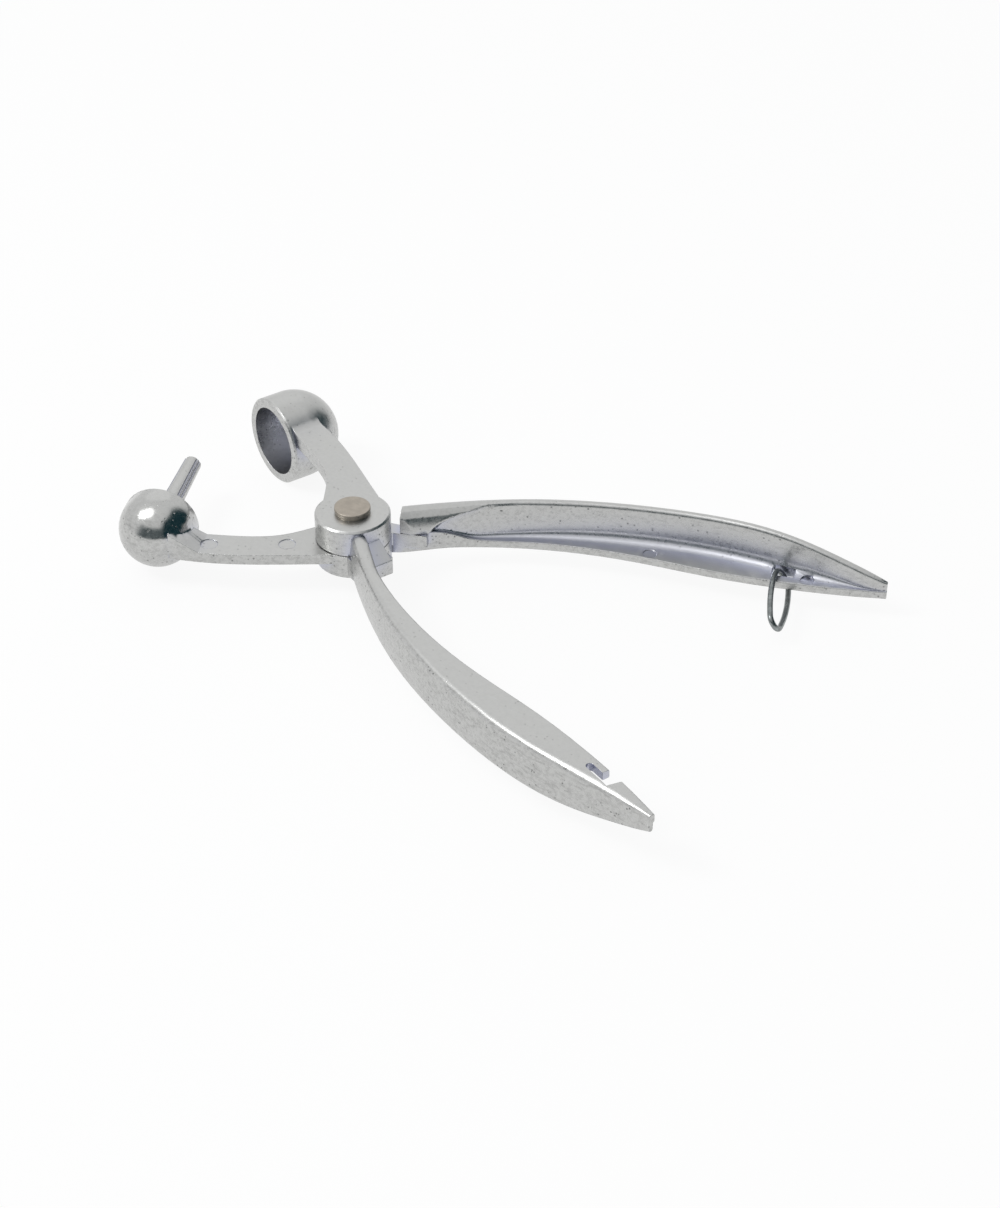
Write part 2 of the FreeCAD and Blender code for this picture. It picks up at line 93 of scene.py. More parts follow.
# The handles, from this X on, and the ball's surroundings are creased at the larger angle.
HANDLE_START = 12.5 * MM
BALL_REACH = 12.5 * MM

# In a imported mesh, vertices closer than the first are merged and edges under the second dissolved.
MERGE_DISTANCE = 2e-6
SHORTEST_EDGE = 1e-7

# Pieces that are drawn anew: flats round a turned part and round the spring's wire, and the angle
# above which their edges are creased.
TURNED_STEPS = 96
SPRING_STEPS = 12
DRAWN_CREASE = math.radians(38)

# The return spring's coil, and the angle at which its upper leg leaves it.
SPRING_RADIUS = 5.0 * MM
SPRING_PITCH = 1.55 * MM
SPRING_LAST_TURN = math.radians(200)

# The castings' skin: how far away a face still casts painted shade into a recess, and painted shade
# into a corner, and the direction of the streaks.
RECESS_REACH = 9 * MM
CORNER_REACH = 1.1 * MM
LENGTHWISE = math.radians(28)

# The room: its tones, and the bearings of its dark side and of the dark band in front. The floor
# glows for the camera with a share of its light.
ROOM_TONE = (0.85, 0.853, 0.855)
DARK_TONE = (0.015, 0.045, 0.055)
DARK_SIDE = math.radians(16)
FRONT = math.radians(-62)
FLOOR_HALF = 3.0
FLOOR_GLOW = 0.90

# Each lamp: name, place, width in metres and power in watts.
LAMPS = (
    ("key lamp", (-0.40, -0.41, 0.69), 0.26, 2.0),
    ("top lamp", (-0.22, -0.30, 0.86), 0.45, 1.0),
    ("back lamp", (-0.80, 1.00, 0.95), 1.20, 0.5),
)

# The photograph's viewpoint. The camera looks along the aim.
LENS = 77.48
SENSOR_WIDTH = 36.0
CAMERA_PLACE = (0.29674, -0.39063, 0.34642)
CAMERA_AIM = (-0.4425, 0.6737, -0.5919)


# Sizes and colours


class PitterSizes(bpy.types.PropertyGroup):
    """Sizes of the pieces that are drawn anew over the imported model."""

    head_radius: FloatProperty(
        name="Rivet head radius", description="Radius of the rivet's flat head",
        default=4.15 * MM, unit="LENGTH", precision=5)
    dimple_radius: FloatProperty(
        name="Dimple radius", description="Radius of the dimple in the middle of the head",
        default=0.8 * MM, unit="LENGTH", precision=5)
    loop_wire: FloatProperty(
        name="Loop wire radius", description="Radius of the locking loop's wire",
        default=0.65 * MM, unit="LENGTH", precision=5)
    loop_reach: FloatProperty(
        name="Loop reach", description="From the loop's hinge to the far end of its centre line",
        default=15.8 * MM, unit="LENGTH", precision=5)
    spring_wire: FloatProperty(
        name="Spring wire radius", description="Radius of the return spring's wire",
        default=0.5 * MM, unit="LENGTH", precision=5)
    spring_turns: FloatProperty(
        name="Spring turns", description="Turns of the return spring", default=3.25)
    edge_radius: FloatProperty(
        name="Cast edge radius", description="How softly the cast edges catch the light",
        default=0.22 * MM, unit="LENGTH", precision=5)
    crease_angle: FloatProperty(
        name="Crease angle", description="Hub, arm and cup edges sharper than this are creased",
        default=math.radians(25), subtype="ANGLE")
    handle_crease_angle: FloatProperty(
        name="Handle crease angle",
        description="Edges of the handles and by the ball sharper than this are creased",
        default=math.radians(64), subtype="ANGLE")
    ring_steps: IntProperty(
        name="Steps round the loop", description="Flats round the section of the loop's wire",
        default=20, min=8)


class PitterColours(bpy.types.PropertyGroup):
    """Colours of the metals and of the floor, in linear values."""

    cast: FloatVectorProperty(
        name="Cast aluminium", description="Open faces of the castings", subtype="COLOR", size=3,
        default=(0.545, 0.547, 0.537), min=0, max=1)
    # painted shade: a bluish tone mixed into recesses where the piece hides itself
    recess_shade: FloatVectorProperty(
        name="Recesses", description="Inner faces of the castings", subtype="COLOR", size=3,
        default=(0.50, 0.515, 0.605), min=0, max=1)
    # wear and painted highlight: a lighter tone for rubbed edges and scratches
    worn_and_edge_highlight: FloatVectorProperty(
        name="Worn edge", description="Edges and scratches rubbed bright", subtype="COLOR", size=3,
        default=(0.72, 0.72, 0.72), min=0, max=1)
    # real pits, and painted shade: the same dark tone fills tight corners by occlusion
    pit_and_corner_shade: FloatVectorProperty(
        name="Pit", description="Small pits and grime in the castings", subtype="COLOR", size=3,
        default=(0.15, 0.15, 0.15), min=0, max=1)
    rivet: FloatVectorProperty(
        name="Rivet", description="Rivet and washer", subtype="COLOR", size=3,
        default=(0.36, 0.325, 0.28), min=0, max=1)
    wire: FloatVectorProperty(
        name="Wire", description="Locking loop and spring", subtype="COLOR", size=3,
        default=(0.20, 0.215, 0.215), min=0, max=1)
    floor: FloatVectorProperty(
        name="Floor", description="The pale floor", subtype="COLOR", size=3,
        default=(0.90, 0.90, 0.90), min=0, max=1)


# Nodes, each added to a tree and returned as its output


def feed(tree, value, socket):
    """Links a socket to another, or sets it to a number or a few numbers."""
    if isinstance(value, bpy.types.NodeSocket):
        tree.links.new(value, socket)
    else:
        socket.default_value = value


def noise(tree, vector, scale, detail, roughness):
    """A noise texture's factor, at a scale per metre."""
    node = tree.nodes.new("ShaderNodeTexNoise")
    tree.links.new(vector, node.inputs["Vector"])
    feed(tree, scale, node.inputs["Scale"])
    node.inputs["Detail"].default_value = detail
    node.inputs["Roughness"].default_value = roughness
    return node.outputs["Fac"]


def ramp(tree, value, low, high):
    """0 at low and 1 at high, with a soft step between; high may be the smaller one."""
    node = tree.nodes.new("ShaderNodeMapRange")
    node.interpolation_type = "SMOOTHSTEP"
    tree.links.new(value, node.inputs["Value"])
    node.inputs["From Min"].default_value = low
    node.inputs["From Max"].default_value = high
    return node.outputs["Result"]


def maths(tree, operation, first, second):
    """A sum, difference, product or maximum of two values."""
    node = tree.nodes.new("ShaderNodeMath")
    node.operation = operation
    feed(tree, first, node.inputs[0])
    feed(tree, second, node.inputs[1])
    return node.outputs[0]


def dot(tree, vector, way):
    """How far a vector lies along a direction."""
    node = tree.nodes.new("ShaderNodeVectorMath")
    node.operation = "DOT_PRODUCT"
    feed(tree, vector, node.inputs[0])
    feed(tree, way, node.inputs[1])
    return node.outputs["Value"]


def upward(tree, vector):
    """The Z part of a vector."""
    node = tree.nodes.new("ShaderNodeSeparateXYZ")
    tree.links.new(vector, node.inputs[0])
    return node.outputs["Z"]


def stretched(tree, vector, turn, scale):
    """Coordinates turned about Z and scaled, for a noise that is drawn out one way."""
    node = tree.nodes.new("ShaderNodeMapping")
    node.inputs["Rotation"].default_value = (0.0, 0.0, turn)
    node.inputs["Scale"].default_value = scale
    tree.links.new(vector, node.inputs["Vector"])
    return node.outputs["Vector"]


def openness(tree, reach):
    """1 in the open, and less where other faces of the same piece stand within reach."""
    node = tree.nodes.new("ShaderNodeAmbientOcclusion")
    node.samples = 8
    node.only_local = True
    node.inputs["Distance"].default_value = reach
    return node.outputs["AO"]


def mixed(tree, share, first, second):
    """A colour between two colours, each a socket or three numbers."""
    node = tree.nodes.new("ShaderNodeMix")
    node.data_type = "RGBA"
    node.clamp_factor = True
    tree.links.new(share, node.inputs[0])
    for place, value in ((6, first), (7, second)):
        if isinstance(value, bpy.types.NodeSocket):
            tree.links.new(value, node.inputs[place])
        else:
            node.inputs[place].default_value = (*value, 1.0)
    return node.outputs[2]


def bumped(tree, height, strength, distance, under=None):
    """A normal raised by a height, over the surface's own normal or one given as under."""
    node = tree.nodes.new("ShaderNodeBump")
    node.inputs["Strength"].default_value = strength
    node.inputs["Distance"].default_value = distance
    tree.links.new(height, node.inputs["Height"])
    if under is not None:
        tree.links.new(under, node.inputs["Normal"])
    return node.outputs["Normal"]


# Shared effects


def group_tree(name, inputs, outputs):
    """An empty node group with named inputs (name, default) and outputs (name, kind)."""
    tree = bpy.data.node_groups.new(name, "ShaderNodeTree")
    for label, value in inputs:
        kind = "NodeSocketVector" if value is None else "NodeSocketFloat"
        socket = tree.interface.new_socket(label, in_out="INPUT", socket_type=kind)
        if value is not None:
            socket.default_value = value
    for label, kind in outputs:
        tree.interface.new_socket(label, in_out="OUTPUT", socket_type=kind)
    return tree, tree.nodes.new("NodeGroupInput"), tree.nodes.new("NodeGroupOutput")


def cast_skin_group():
    """Skin of a tumbled casting.

    Slow waves and fine grain make the height, less the pits. The pits are the middles of cells,
    kept only in patches, and a coarser noise mottles the tone.
    """
    tree, start, end = group_tree(
        "cast skin",
        [("Vector", None), ("Grain scale", 2600.0), ("Wave scale", 140.0), ("Pit amount", 0.5)],
        [("Height", "NodeSocketFloat"), ("Pits", "NodeSocketFloat"), ("Mottle", "NodeSocketFloat")])
    vector = start.outputs["Vector"]
    grain = noise(tree, vector, start.outputs["Grain scale"], 3.0, 0.6)
    wave = noise(tree, vector, start.outputs["Wave scale"], 2.0, 0.45)
    mottle = noise(tree, vector, 1000.0, 6.0, 0.68)
    cells = tree.nodes.new("ShaderNodeTexVoronoi")
    cells.feature = "F1"
    cells.inputs["Scale"].default_value = 900.0
    tree.links.new(vector, cells.inputs["Vector"])
    spot = ramp(tree, cells.outputs["Distance"], 0.26, 0.12)
    patch = ramp(tree, noise(tree, vector, 260.0, 3.0, 0.65), 0.48, 0.60)
    pits = maths(tree, "MULTIPLY", spot, patch)
    pits = maths(tree, "MULTIPLY", pits, start.outputs["Pit amount"])
    height = maths(tree, "MULTIPLY", grain, 0.05)
    height = maths(tree, "ADD", height, maths(tree, "MULTIPLY", wave, 0.3))
    height = maths(tree, "SUBTRACT", height, maths(tree, "MULTIPLY", pits, 0.25))
    tree.links.new(height, end.inputs["Height"])
    tree.links.new(pits, end.inputs["Pits"])
    tree.links.new(mottle, end.inputs["Mottle"])
    return tree


def scratch_group():
    """Fine scratches: noise drawn out along two crossed directions, kept only where it peaks."""
    tree, start, end = group_tree(
        "fine scratches", [("Vector", None), ("Amount", 0.5)], [("Scratches", "NodeSocketFloat")])
    lines = []
    for turn, scale in ((0.5, (90.0, 5200.0, 2600.0)), (2.2, (120.0, 4600.0, 2200.0))):
        drawn_out = stretched(tree, start.outputs["Vector"], turn, scale)
        lines.append(ramp(tree, noise(tree, drawn_out, 1.0, 1.0, 0.4), 0.70, 0.76))
    both = maths(tree, "MAXIMUM", lines[0], lines[1])
    both = maths(tree, "MULTIPLY", both, start.outputs["Amount"])
    tree.links.new(both, end.inputs["Scratches"])
    return tree


def shared_groups():
    """The shared effects, made once."""
    made = {}
    for name, make in (("cast skin", cast_skin_group), ("fine scratches", scratch_group)):
        made[name] = bpy.data.node_groups.get(name) or make()
    return made


def effect(tree, group, place, **values):
    """An instance of a shared effect with its own values."""
    node = tree.nodes.new("ShaderNodeGroup")
    node.node_tree = group
    tree.links.new(place, node.inputs["Vector"])
    for label, value in values.items():
        node.inputs[label.replace("_", " ")].default_value = value
    return node


# Materials


def new_material(name):
    """A material with its Principled BSDF and the object's coordinates."""
    material = bpy.data.materials.new(name)
    material.use_nodes = True
    tree = material.node_tree
    shader = tree.nodes["Principled BSDF"]
    place = tree.nodes.new("ShaderNodeTexCoord").outputs["Object"]
    return material, tree, shader, place


def make_metal(tree, shader, tone, rough, normal):
    """Makes a shader a metal with this colour, roughness and normal."""
    shader.inputs["Metallic"].default_value = 1.0
    tree.links.new(tone, shader.inputs["Base Color"])
    tree.links.new(rough, shader.inputs["Roughness"])
    tree.links.new(normal, shader.inputs["Normal"])


def scaled(colour, factor):
    """A colour made lighter or darker, up to white."""
    return [min(value * factor, 1.0) for value in colour]


def streaks(tree, place):
    """Faint streaks along the levers."""
    drawn_out = stretched(tree, place, LENGTHWISE, (160.0, 1500.0, 1500.0))
    return ramp(tree, noise(tree, drawn_out, 1.0, 4.0, 0.6), 0.52, 0.68)


def polished_ball(tree, place, centre):
    """1 on the ball above the parting plane and 0 elsewhere, with soft limits."""
    away = tree.nodes.new("ShaderNodeVectorMath")
    away.operation = "DISTANCE"
    tree.links.new(place, away.inputs[0])
    away.inputs[1].default_value = centre
    near = ramp(tree, away.outputs["Value"], 11 * MM, 9.2 * MM)
    above = ramp(tree, upward(tree, place), centre[2] - 1.5 * MM, centre[2] + 1.0 * MM)
    return maths(tree, "MULTIPLY", near, above)


def cast_material(name, groups, colours, sizes, ball_centre):
    """Tumbled cast aluminium.

    Open faces are mottled grey, and steep ones also have pits and faint streaks along the lever.
    Recesses take a painted bluish shade, tight corners a painted dark shade, and edges are rubbed
    bright, partly as a painted highlight. Where the centre of a ball is given, its upper half is
    polished.
    """
    material, tree, shader, place = new_material(name)
    skin = effect(tree, groups["cast skin"], place, Pit_amount=0.9)
    marks = effect(tree, groups["fine scratches"], place, Amount=0.5)
    mottle, pits = skin.outputs["Mottle"], skin.outputs["Pits"]
    flat = tree.nodes.new("ShaderNodeNewGeometry").outputs["Normal"]
    round_edge = tree.nodes.new("ShaderNodeBevel")
    round_edge.samples = 6
    round_edge.inputs["Radius"].default_value = sizes.edge_radius
    rounded = round_edge.outputs["Normal"]

    # shares of each effect, from 0 to 1
    # edges get a lighter tone, partly wear and partly a painted highlight
    near_edge = ramp(tree, dot(tree, rounded, flat), 0.995, 0.90)
    wear_and_edge_highlight = maths(tree, "MULTIPLY", near_edge, ramp(tree, mottle, 0.35, 0.62))
    # painted shade in recesses, from occlusion over a long reach
    recess_shade_share = ramp(tree, openness(tree, RECESS_REACH), 0.98, 0.60)
    # painted shade in tight corners, from occlusion over a short reach
    corner = ramp(tree, openness(tree, CORNER_REACH), 0.74, 0.42)
    steep = ramp(tree, upward(tree, flat), 0.90, 0.45)
    rough_skin = maths(tree, "ADD", maths(tree, "MULTIPLY", steep, 0.75), 0.25)
    clear = ramp(tree, mottle, 0.58, 0.38)
    cloud = maths(tree, "SUBTRACT", 1.0, maths(tree, "MULTIPLY", clear, rough_skin))
    drawn = maths(tree, "MULTIPLY", streaks(tree, place), steep)
    open_skin = maths(tree, "SUBTRACT", 1.0, maths(tree, "MULTIPLY", recess_shade_share, 0.85))
    pitted = maths(tree, "MULTIPLY", maths(tree, "MULTIPLY", pits, rough_skin), open_skin)

    tone = mixed(tree, cloud, scaled(colours.cast, 0.83), colours.cast)
    tone = mixed(tree, maths(tree, "MULTIPLY", drawn, 0.45), tone, scaled(colours.cast, 0.55))
    tone = mixed(tree, recess_shade_share, tone, colours.recess_shade)
    # painted highlight and wear along the edges
    tone = mixed(tree, wear_and_edge_highlight, tone, colours.worn_and_edge_highlight)
    # painted shade darkens the tight corners
    tone = mixed(tree, maths(tree, "MULTIPLY", corner, 0.70), tone, colours.pit_and_corner_shade)
    tone = mixed(tree, maths(tree, "MULTIPLY", pitted, 0.8), tone, colours.pit_and_corner_shade)
    scratched = maths(tree, "MULTIPLY", marks.outputs["Scratches"], 0.35)
    tone = mixed(tree, scratched, tone, colours.worn_and_edge_highlight)

    rough = maths(tree, "ADD", maths(tree, "MULTIPLY", cloud, 0.10), 0.25)
    rough = maths(tree, "SUBTRACT", rough, maths(tree, "MULTIPLY", wear_and_edge_highlight, 0.12))
    rough = maths(tree, "ADD", rough, maths(tree, "MULTIPLY", pits, 0.3))
    if ball_centre is not None:
        polish = polished_ball(tree, place, ball_centre)
        rough = maths(tree, "SUBTRACT", rough, maths(tree, "MULTIPLY", polish, 0.15))
    normal = bumped(tree, skin.outputs["Height"], 0.55, 0.25 * MM, rounded)
    make_metal(tree, shader, tone, rough, normal)
    return material


def rivet_material(groups, colours):
    """Turned steel of the rivet: warm grey with faint rings round the pivot axis."""
    material, tree, shader, place = new_material("turned rivet steel")
    scratches = effect(tree, groups["fine scratches"], place, Amount=0.6).outputs["Scratches"]
    rings = tree.nodes.new("ShaderNodeTexWave")
    rings.wave_type = "RINGS"
    rings.rings_direction = "Z"
    rings.inputs["Scale"].default_value = 900.0
    rings.inputs["Distortion"].default_value = 1.5
    rings.inputs["Detail"].default_value = 2.0
    tree.links.new(place, rings.inputs["Vector"])
    cloud = ramp(tree, noise(tree, place, 600.0, 4.0, 0.6), 0.3, 0.7)
    rubbed = (0.62, 0.60, 0.56)
    tone = mixed(tree, cloud, colours.rivet, scaled(colours.rivet, 1.25))
    tone = mixed(tree, maths(tree, "MULTIPLY", scratches, 0.5), tone, rubbed)
    rough = maths(tree, "ADD", maths(tree, "MULTIPLY", cloud, 0.12), 0.32)
    height = maths(tree, "SUBTRACT", rings.outputs["Fac"], scratches)
    make_metal(tree, shader, tone, rough, bumped(tree, height, 0.25, 0.02 * MM))
    return material


def wire_material(name, groups, colour):
    """Drawn steel wire: dark grey with fine grain and bright rubbed patches."""
    material, tree, shader, place = new_material(name)
    skin = effect(tree, groups["cast skin"], place, Pit_amount=0.4)
    cloud = ramp(tree, skin.outputs["Mottle"], 0.35, 0.70)
    tone = mixed(tree, cloud, colour, scaled(colour, 1.7))
    tone = mixed(tree, skin.outputs["Pits"], tone, scaled(colour, 0.4))
    rough = maths(tree, "SUBTRACT", 0.36, maths(tree, "MULTIPLY", cloud, 0.12))
    make_metal(tree, shader, tone, rough, bumped(tree, skin.outputs["Height"], 0.3, 0.05 * MM))
    return material


# Drawn shapes


def add_piece(name, mesh, body, material, node):
    """Links a mesh as the piece that stands for a CAD node, and rides on a body if one is named."""
    piece = bpy.data.objects.new(name, mesh)
    bpy.context.scene.collection.objects.link(piece)
    mesh.materials.clear()
    mesh.materials.append(material)
    if body:
        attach(piece, body)
    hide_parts(node)
    return piece


def grid_mesh(name, points, closed_rows, closed_columns):
    """A mesh through a grid of points, rows by columns, with a face between each four neighbours.

    A closed direction joins its last line to its first.
    """
    rows, columns = points.shape[:2]
    i, j = np.meshgrid(np.arange(rows if closed_rows else rows - 1),
                       np.arange(columns if closed_columns else columns - 1), indexing="ij")
    down = (i + 1) % rows
    right = (j + 1) % columns
    corners = (i * columns + j, i * columns + right, down * columns + right, down * columns + j)
    faces = np.stack(corners, axis=-1)
    mesh = bpy.data.meshes.new(name)
    mesh.from_pydata(points.reshape(-1, 3).tolist(), [], faces.reshape(-1, 4).tolist())
    return mesh


def shade_smooth(mesh):
    """Shades every face smooth."""
    mesh.polygons.foreach_set("use_smooth", np.ones(len(mesh.polygons), dtype=bool))


def finish_mesh(mesh, cap_ends=False):
    """Merges doubles, caps open ends, turns all faces outwards and shades them smooth."""
    work = bmesh.new()
    work.from_mesh(mesh)
    bmesh.ops.remove_doubles(work, verts=work.verts, dist=1e-7)
    if cap_ends:
        bmesh.ops.holes_fill(work, edges=work.edges, sides=0)
    bmesh.ops.recalc_face_normals(work, faces=work.faces)
    work.to_mesh(mesh)
    work.free()
    shade_smooth(mesh)
    mesh.set_sharp_from_angle(angle=DRAWN_CREASE)
    return mesh


def turned_mesh(name, profile):
    """A profile of (radius, height) carried round Z: x = r cos t, y = r sin t, z = height."""
    profile = np.asarray(profile, dtype=float)
    turn = np.linspace(0, 2 * math.pi, TURNED_STEPS, endpoint=False)[:, None]
    radius = profile[None, :, 0]
    height = np.broadcast_to(profile[None, :, 1], (TURNED_STEPS, len(profile)))
    points = np.stack([radius * np.cos(turn), radius * np.sin(turn), height], axis=-1)
    return finish_mesh(grid_mesh(name, points, True, False))


def rounded_profile(corners, steps=5):
    """A profile whose corners (radius, height, rounding) are cut by quadratic curves.

    Each corner's curve is (1-u)^2 a + 2u(1-u) c + u^2 b, with a and b on its two sides at the
    rounding's length from the corner c.
    """
    corners = np.asarray(corners, dtype=float)
    share = np.linspace(0, 1, steps)[:, None]
    out = [corners[:1, :2]]
    for before, corner, after in zip(corners[:-2], corners[1:-1], corners[2:]):
        point, size = corner[:2], corner[2]
        if size <= 0:
            out.append(point[None])
            continue
        to_before = before[:2] - point
        to_after = after[:2] - point
        first = point + to_before / np.linalg.norm(to_before) * size
        last = point + to_after / np.linalg.norm(to_after) * size
        out.append((1 - share) ** 2 * first + 2 * share * (1 - share) * point + share ** 2 * last)
    out.append(corners[-1:, :2])
    return np.concatenate(out)


def tube_mesh(name, path, radius, steps, closed):
    """A round wire along a path: path + radius (cos v a + sin v b).

    At each point, a leads away from the path's mean, less its part along the path, and b is
    square to both a and the path.
    """
    if closed:
        way = np.roll(path, -1, axis=0) - np.roll(path, 1, axis=0)
    else:
        way = np.gradient(path, axis=0)
    way /= np.linalg.norm(way, axis=1)[:, None]
    across = path - path.mean(axis=0)
    across -= (across * way).sum(axis=1)[:, None] * way
    across /= np.linalg.norm(across, axis=1)[:, None]
    side = np.cross(way, across)
    turn = np.linspace(0, 2 * math.pi, steps, endpoint=False)[None, :, None]
    ring = np.cos(turn) * across[:, None] + np.sin(turn) * side[:, None]
    return finish_mesh(grid_mesh(name, path[:, None] + radius * ring, closed, True), not closed)


def turned_about(vector, axis, angle):
    """Rodrigues' turn: v cos a + (k x v) sin a + k (k . v)(1 - cos a)."""
    axis = np.asarray(axis) / np.linalg.norm(axis)
    vector = np.asarray(vector, dtype=float)
    return (vector * math.cos(angle) + np.cross(axis, vector) * math.sin(angle)
            + axis * np.dot(axis, vector) * (1 - math.cos(angle)))


def arc_points(centre, radius, start, end, count):
    """Points on a plane arc: centre + radius (cos t, sin t)."""
    turn = np.linspace(start, end, count, endpoint=False)
    return np.stack([centre[0] + radius * np.cos(turn), centre[1] + radius * np.sin(turn)], axis=1)


def loop_outline(reach, near=2.9 * MM, far=2.1 * MM, half_width=3.3 * MM):
    """The loop's centre line in its plane: two end bends joined by two large arcs that touch both.

    With the far bend at distance d, the large arc's centre is (slope R + base, half_width - R),
    where slope = (far - near) / d and base = d/2 - slope (near + far)/2. Its distance from the
    near bend's centre is R - near, so R is the smaller root of slope^2 R^2 + b R + c = 0.
    """
    d = reach - far
    slope = (far - near) / d
    base = d / 2 - slope * (near + far) / 2
    b = 2 * slope * base - 2 * (half_width - near)
    c = base ** 2 + half_width ** 2 - near ** 2
    radius = 2 * c / (-b + math.sqrt(b ** 2 - 4 * slope ** 2 * c))
    centre = np.array([slope * radius + base, half_width - radius])
    near_turn = math.atan2(-centre[1], -centre[0])
    far_turn = math.atan2(-centre[1], d - centre[0])
    upper = arc_points(centre, radius, near_turn, far_turn, 40)
    far_bend = arc_points((d, 0.0), far, far_turn, -far_turn, 28)
    lower = arc_points(centre, radius, far_turn, near_turn, 40) * (1, -1)
    near_bend = arc_points((0.0, 0.0), near, -near_turn, near_turn - 2 * math.pi, 36)
    return np.concatenate([upper, far_bend, lower, near_bend])


def spring_path(middle, turns):
    """The return spring's centre line: a helix with a straight leg at each end.

    The helix is (r cos t, r sin t, middle + pitch (t - mean turn) / full turn), and each leg
    leaves it along its direction there.
    """
    last = SPRING_LAST_TURN
    first = last - 2 * math.pi * turns
    turn = np.linspace(first, last, 160)
    rise = middle + SPRING_PITCH * (turn - (first + last) / 2) / (2 * math.pi)
    coil = np.stack([SPRING_RADIUS * np.cos(turn), SPRING_RADIUS * np.sin(turn), rise], axis=1)
    slope = SPRING_PITCH / (2 * math.pi * SPRING_RADIUS)
    gap, leg = 0.3, 3.9
    along_leg = np.linspace(gap, leg, 8)[:, None]
    legs = []
    for angle, sign, start in ((first, -1, coil[0]), (last, 1, coil[-1])):
        way = sign * np.array([-math.sin(angle), math.cos(angle), slope])
        legs.append(start + way / np.linalg.norm(way) * along_leg * MM)
    return np.concatenate([legs[0][::-1], coil, legs[1]])


# The castings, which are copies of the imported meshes


def ball_place():
    """The ball's centre: the working radius and the set-back, turned with the punch lever."""
    way = np.array([math.cos(OPEN_TURN), math.sin(OPEN_TURN)])
    aside = np.array([way[1], -way[0]])
    return np.array([*(-WORK_RADIUS * way + BALL_SETBACK * aside), PARTING_HEIGHT])


def root_wall(work, along, out):
    """The faces, edges and corners of the flat wall on the side of the punch lever's root."""
    first, last = 9.9 * MM, 35.0 * MM
    inside = 3.0 * MM
    lowest = PARTING_HEIGHT - 1.2 * MM
    wall = {}
    for face in work.faces:
        middle = face.calc_center_median()
        if (face.normal.dot(out) > 0.8 and first < middle.dot(along) < last
                and -middle.dot(out) > inside and middle.z > lowest):
            wall.update(dict.fromkeys((face, *face.edges, *face.verts)))
    return list(wall)


def swell_root(work):
    """Rounds the side of the punch lever's root, which ends in an arch where the channel starts.

    With x along the handle, y across it and z up from the parting plane, the wall moves out by
    swell (1 - (z / rim)^2) as far as the arch x = start + length ((z + drop) / (rim + drop))^3.
    It fades out over the arch and just under the parting plane, and keeps behind the stop face.
    """
    along = Vector((math.cos(OPEN_TURN), math.sin(OPEN_TURN), 0.0))
    out = Vector((math.sin(OPEN_TURN), -math.cos(OPEN_TURN), 0.0))
    up = Vector((0.0, 0.0, 1.0))
    start, length, drop = 17.0 * MM, 14.5 * MM, 2.0 * MM
    rim, swell, stop_face = 5.15 * MM, 1.9 * MM, 2.85 * MM
    arch_fade, under, under_fade = 0.8 * MM, 0.4 * MM, 0.3 * MM

    work.normal_update()
    wall = root_wall(work, along, out)
    cuts = [(along, x * MM) for x in np.arange(10.4, 32.0, 0.35)]
    cuts += [(up, PARTING_HEIGHT + z * MM) for z in np.arange(-0.4, 5.2, 0.27)]
    for way, reach in cuts:
        cut = bmesh.ops.bisect_plane(
            work, geom=wall, dist=1e-6, plane_co=way * reach, plane_no=way)
        wall = cut["geom"]

    faces = [part for part in wall if isinstance(part, bmesh.types.BMFace)]
    points = list(dict.fromkeys(point for face in faces for point in face.verts))
    places = np.array([point.co for point in points])
    x, z = places @ along, places[:, 2] - PARTING_HEIGHT
    arch = start + length * (np.maximum(z + drop, 0) / (rim + drop)) ** 3
    before = np.clip((arch + arch_fade - x) / (2 * arch_fade), 0, 1)
    above = np.clip((z + under) / under_fade, 0, 1)
    bulge = np.maximum(1 - (np.maximum(z, 0) / rim) ** 2, 0)
    move = swell * bulge * before ** 2 * (3 - 2 * before) * above
    room = np.maximum(-(places @ out) - stop_face, 0)
    moved = places + np.minimum(move, room)[:, None] * out
    for point, place in zip(points, moved):
        point.co = place


def sharp_edges(mesh, angle):
    """Which edges are sharper than an angle."""
    mesh.set_sharp_from_angle(angle=angle)
    found = np.empty(len(mesh.edges), dtype=bool)
    mesh.attributes["sharp_edge"].data.foreach_get("value", found)
    return found


def edge_middles(mesh):
    """The middle of each edge."""
    places = np.empty(len(mesh.vertices) * 3)
    mesh.vertices.foreach_get("co", places)
    ends = np.empty(len(mesh.edges) * 2, dtype=int)
    mesh.edges.foreach_get("vertices", ends)
    return places.reshape(-1, 3)[ends.reshape(-1, 2)].mean(axis=1)


def merged_casting(node, crease_angle, handle_crease_angle):
    """A copy of a CAD node's mesh with its loose triangles merged, smooth up to a crease angle.

    The roundings of the handles and round the ball are made of broad flats, so their edges are
    creased only above a larger angle.
    """
    mesh = frame["nodes"][node].data.copy()
    work = bmesh.new()
    work.from_mesh(mesh)
    bmesh.ops.remove_doubles(work, verts=work.verts, dist=MERGE_DISTANCE)
    bmesh.ops.dissolve_degenerate(work, edges=work.edges, dist=SHORTEST_EDGE)
    if node == "punch_lever":
        swell_root(work)
    work.to_mesh(mesh)
    work.free()
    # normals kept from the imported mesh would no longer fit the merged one
    if "custom_normal" in mesh.attributes:
        mesh.attributes.remove(mesh.attributes["custom_normal"])
    shade_smooth(mesh)
    middle = edge_middles(mesh)
    on_handle = middle[:, 0] > HANDLE_START
    by_ball = np.linalg.norm(middle - ball_place(), axis=1) < BALL_REACH
    small, large = (sharp_edges(mesh, angle) for angle in (crease_angle, handle_crease_angle))
    creased = np.where(on_handle | by_ball, large, small)
    mesh.attributes["sharp_edge"].data.foreach_set("value", creased)
    return mesh


# Operators


